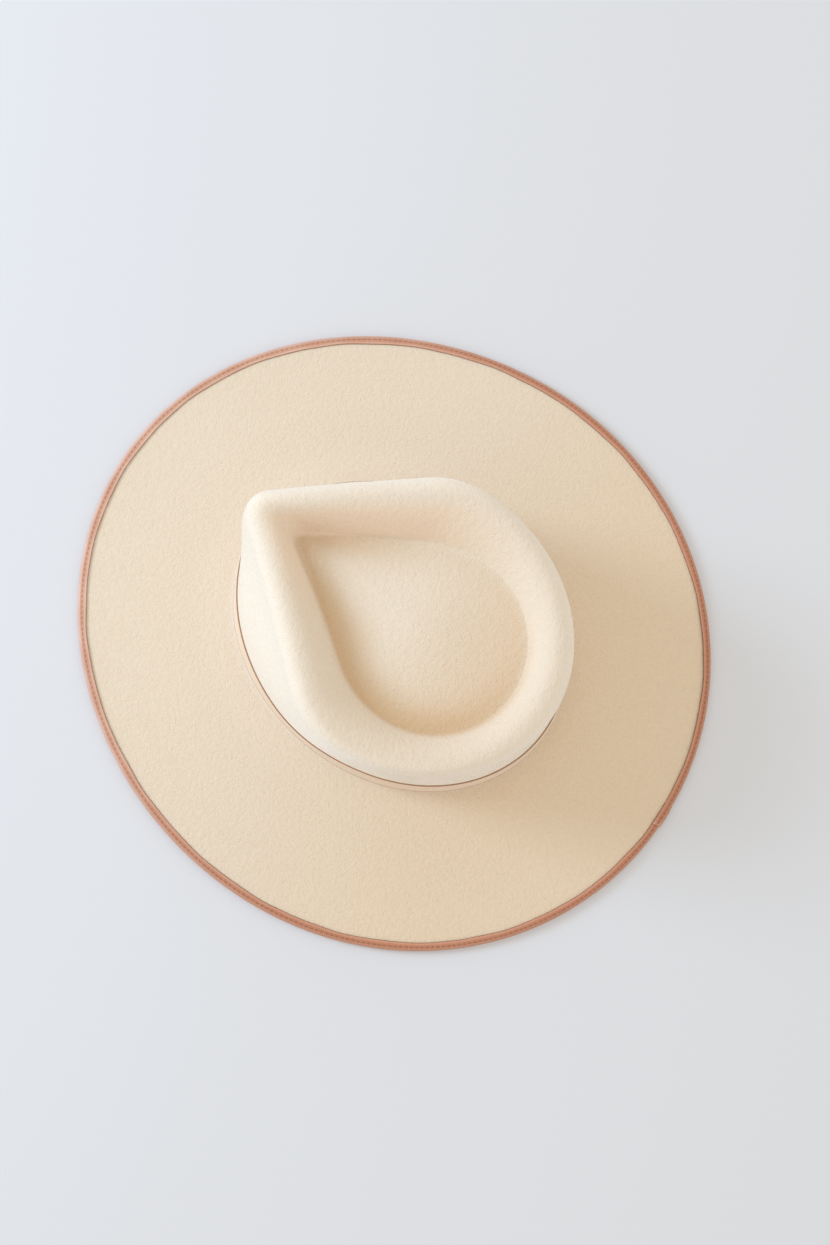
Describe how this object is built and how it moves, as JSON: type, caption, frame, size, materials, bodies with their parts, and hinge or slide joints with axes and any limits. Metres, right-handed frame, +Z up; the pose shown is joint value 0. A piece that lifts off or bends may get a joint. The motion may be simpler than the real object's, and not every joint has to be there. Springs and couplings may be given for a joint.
{
  "type": "wide-brim fedora hat",
  "caption": "Wide-brim felt fedora with a teardrop crown, a flat oval brim bound in folded ribbon and a low ribbon hat band. The hollow for the head is open.",
  "frame": {"origin": "on the surface that the hat rests on, under the middle of the brim", "axes": "+Z up, -Y to the wearer's front where the teardrop has its point, +X to the wearer's left"},
  "size_m": [0.3632, 0.394, 0.112],
  "materials": {
    "wool_felt": "matt ivory wool felt with a short, fine nap",
    "tan_ribbon": "matt grosgrain ribbon with fine cross ribs",
    "cream_ribbon": "matt grosgrain ribbon in the felt's colour"
  },
  "bodies": {
    "root": {"felt_body": "wool_felt", "brim_binding": "tan_ribbon", "hat_band": "cream_ribbon"}
  },
  "joints": []
}
